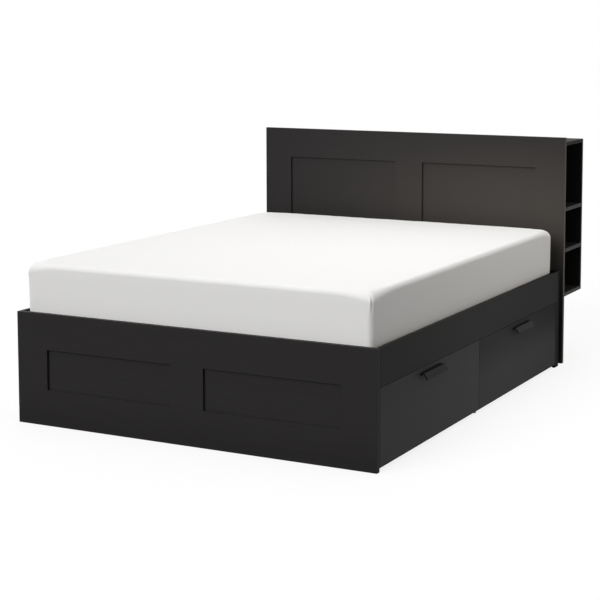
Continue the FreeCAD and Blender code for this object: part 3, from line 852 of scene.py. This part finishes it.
WHEEL_HALF = 7 * MM
WHEEL_BORE = 3.05 * MM
PLATE_HALF_X, PLATE_HALF_Y, PLATE_SHEET = 23 * MM, 17 * MM, 2 * MM
HANDLE_SCREW_INSET, HANDLE_SCREW_DROP = 0.03, 8.5 * MM
for end, side in DRAWERS:
    key = end + "_" + side
    for which in ("outer", "inner"):
        node = key + "_drawer_" + which + "_wheels"
        low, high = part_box(node)
        radius = (high.z - low.z) / 2
        made = Turned()
        for y in (low.y + WHEEL_HALF, high.y - WHEEL_HALF):
            made.ring(((low.x + high.x) / 2, y, (low.z + high.z) / 2), (0, 1, 0),
                      wheel_profile(radius, WHEEL_HALF, WHEEL_BORE), 64)
        wheels = made.build(key + "_" + which + "_castor_wheels", nylon)
        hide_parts(node)
        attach(wheels, key + "_" + which + "_wheels")

    # screws up through each castor plate into the drawer's bottom
    low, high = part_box(key + "_drawer_castor_forks")
    plate_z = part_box(key + "_drawer_bottom")[0].z - PLATE_SHEET
    places = [(x + dx * 18.5 * MM, y + dy * 13.2 * MM, plate_z)
              for x in (low.x + PLATE_HALF_X, high.x - PLATE_HALF_X)
              for y in (low.y + PLATE_HALF_Y, high.y - PLATE_HALF_Y)
              for dx in (-1, 1) for dy in (-1, 1)]
    screws = pan_screws(key + "_castor_screws", places, (0, 0, -1), zinc, 2.6 * MM, 1.4 * MM)
    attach(screws, key + "_drawer")

    # screws through the front into the handle; they show above the drawer's box when it is open
    sign = 1 if side == "right" else -1
    front_low, front_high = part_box(key + "_drawer_front")
    low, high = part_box(key + "_drawer_handle")
    inner_x = front_low.x if sign > 0 else front_high.x
    places = [(inner_x, y, high.z - HANDLE_SCREW_DROP)
              for y in (low.y + HANDLE_SCREW_INSET, high.y - HANDLE_SCREW_INSET)]
    screws = pan_screws(key + "_handle_screws", places, (-sign, 0, 0), zinc, 4.0 * MM, 2.4 * MM)
    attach(screws, key + "_drawer")


def staples():
    """One staple across each strap on each slat."""
    points, faces = [], []
    low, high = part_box("slats_right")
    start_y, pitch = slat_rows()
    near, far = (low.x + share * (high.x - low.x) for share in (0.25, 0.75))
    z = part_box("slat_straps")[0].z
    wire = 0.6 * MM
    bent = ((-5.5, -0.05), (-5.0, -0.85), (-4.3, -1.0), (4.3, -1.0), (5.0, -0.85), (5.5, -0.05))
    for x in (near, far, -near, -far):
        for i in range(SLAT_COUNT):
            y = start_y + i * pitch + SLAT_WIDTH / 2
            start = len(points)
            for px, pz in bent:
                for py in (-1, 1):
                    points.append(Vector((x + px * MM, y + py * wire, z + pz * MM)))
                    points.append(Vector((x + px * MM * 0.93, y + py * wire,
                                          z + pz * MM * 0.35 + 0.02 * MM)))
            for k in range(len(bent) - 1):
                a = start + 4 * k
                faces += [(a, a + 2, a + 6, a + 4), (a + 3, a + 1, a + 5, a + 7),
                          (a + 1, a, a + 4, a + 5), (a + 2, a + 3, a + 7, a + 6)]
            end = start + 4 * (len(bent) - 1)
            faces += [(start, start + 1, start + 3, start + 2), (end, end + 2, end + 3, end + 1)]
    return add_object("strap_staples", points, faces, zinc, smooth=False)


made = staples()
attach(made, "bed")

# screws in the corner brackets, two on each leg
bracket_low, bracket_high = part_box("corner_brackets")
bracket_sheet = 2.5 * MM
end_inset, leg_place = 14 * MM, 34 * MM     # of the screws: from the leg's ends, and out along it
rail_face = bracket_high.x
made = Turned()
head = [(radius * MM, height * MM) for radius, height in (
    (4.4, -0.3), (4.6, 0.3), (4.4, 1.2), (3.4, 2.1), (2.2, 2.4), (1.6, 2.3), (0.4, 2.2))]
drive = cross_drive(2.3 * MM, 1.4 * MM)
for sign in (1, -1):
    for wall, inward in ((bracket_low.y, 1), (bracket_high.y, -1)):
        for z in (bracket_low.z + end_inset, bracket_high.z - end_inset):
            made.add((sign * (rail_face - bracket_sheet), wall + inward * leg_place, z),
                     (-sign, 0, 0), head, 20, drive)
            made.add((sign * (rail_face - leg_place), wall + inward * bracket_sheet, z),
                     (0, inward, 0), head, 20, drive)
made = made.build("bracket_screws", zinc)
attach(made, "bed")


def cover_caps():
    """Flat caps over the fittings of the bookcase's boards, on the compartments' ceilings."""
    shelf_board, inset = 18 * MM, 24 * MM
    made = Turned()
    profile = [(radius * MM, height * MM) for radius, height in (
        (8.6, -0.3), (8.6, 0.25), (8.1, 0.7), (5.0, 0.9), (0.4, 0.95))]
    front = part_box("headboard_front")[1].y
    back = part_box("bookcase_back")[0].y
    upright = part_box("bookcase_upright_right")[1].x
    low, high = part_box("shelves_right")
    for z in (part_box("bookcase_top")[0].z, high.z - shelf_board, low.z):
        for x in (upright + 40 * MM, high.x - 60 * MM):
            for y in (front + inset, back - inset):
                made.add((x, y, z), (0, 0, -1), profile, 28)
                made.add((-x, y, z), (0, 0, -1), profile, 28)
    # the caps take the compartments' painted shade tint
    return made.build("bookcase_cover_caps", foil("foil_cover_caps", "X", tint=INSIDE_SHADE_TINT))


caps = cover_caps()
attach(caps, "bed")


# ---- floor, light and camera ------------------------------------------------------------------------

FLOOR_HALF = 60
floor = add_object("studio_floor", [(x * FLOOR_HALF, y * FLOOR_HALF, 0) for x, y in (
    (-1, -1), (1, -1), (1, 1), (-1, 1))], [(0, 1, 2, 3)], floor_finish(), smooth=False)
floor.location.z = -0.4 * MM        # just under the feet, so that no face lies in it

world = bpy.data.worlds.new("studio")
bpy.context.scene.world = world
world.use_nodes = True
tree = world.node_tree
tree.nodes.clear()
out = tree.nodes.new("ShaderNodeOutputWorld")
seen_sky, light_sky = (tree.nodes.new("ShaderNodeBackground") for _ in range(2))
seen_sky.inputs["Strength"].default_value = 1.0
seen_sky.inputs["Color"].default_value = (1, 1, 1, 1)
light_sky.inputs["Color"].default_value = (1.0, 0.995, 0.985, 1)
light_sky.inputs["Strength"].default_value = SKY
choose = tree.nodes.new("ShaderNodeMixShader")
tree.links.new(seen_rays(tree), choose.inputs[0])
tree.links.new(light_sky.outputs[0], choose.inputs[1])
tree.links.new(seen_sky.outputs[0], choose.inputs[2])
tree.links.new(choose.outputs[0], out.inputs["Surface"])


def aim(thing, target):
    thing.rotation_euler = (Vector(target) - thing.location).to_track_quat("-Z", "Y").to_euler()


def broad_lamp(name, direction, level, spread, gloss=True):
    """A far, wide lamp. level is what a white face turned to it would show, spread is in degrees."""
    light = bpy.data.lights.new(name, "SUN")
    light.energy, light.angle = level * math.pi, math.radians(spread)
    made = bpy.data.objects.new(name, light)
    bpy.context.scene.collection.objects.link(made)
    made.location = Vector(direction) * 6       # a sun's distance changes nothing
    made.visible_glossy = gloss
    aim(made, (0, 0, 0))


broad_lamp("key_lamp", (-0.33, -0.83, 0.45), 0.64, 44)
broad_lamp("overhead_lamp", (0.0, -0.05, 1.0), 0.315, 50)
broad_lamp("side_lamp", (0.90, 0.40, 0.20), 0.03, 50, gloss=False)
broad_lamp("back_lamp", (-0.60, 0.70, 0.35), 0.28, 60, gloss=False)


def soft_box(name, place, target, width, height, power, color):
    light = bpy.data.lights.new(name, "AREA")
    light.shape, light.size, light.size_y = "RECTANGLE", width, height
    light.energy, light.color = power, color
    made = bpy.data.objects.new(name, light)
    bpy.context.scene.collection.objects.link(made)
    made.location = place
    made.visible_camera = False
    aim(made, target)


soft_box("side_box", (3.3, 0.95, 1.45), (0.7, 0.75, 0.6), 1.6, 1.2, 16.5, (1.0, 0.95, 0.89))
soft_box("top_box", (0.50, -0.25, 2.5), (0.50, -0.25, 0.0), 1.8, 1.8, 8.5, (1.0, 0.995, 0.985))

# fitted to the photograph's corners
EYE = (3.23971, -6.26191, 1.66276)
DOWNWARD, HEADING = 0.100893, 0.474823
camera = bpy.data.cameras.new("camera")
camera.lens = 93.125
camera.sensor_width = 36.0
camera.shift_x, camera.shift_y = -0.05, -0.20
camera.clip_start, camera.clip_end = 0.1, 200.0
eye = bpy.data.objects.new("camera", camera)
bpy.context.scene.collection.objects.link(eye)
eye.location = EYE
eye.rotation_euler = (math.pi / 2 - DOWNWARD, 0.0, HEADING)
bpy.context.scene.camera = eye

bpy.context.scene.view_settings.view_transform = "Standard"
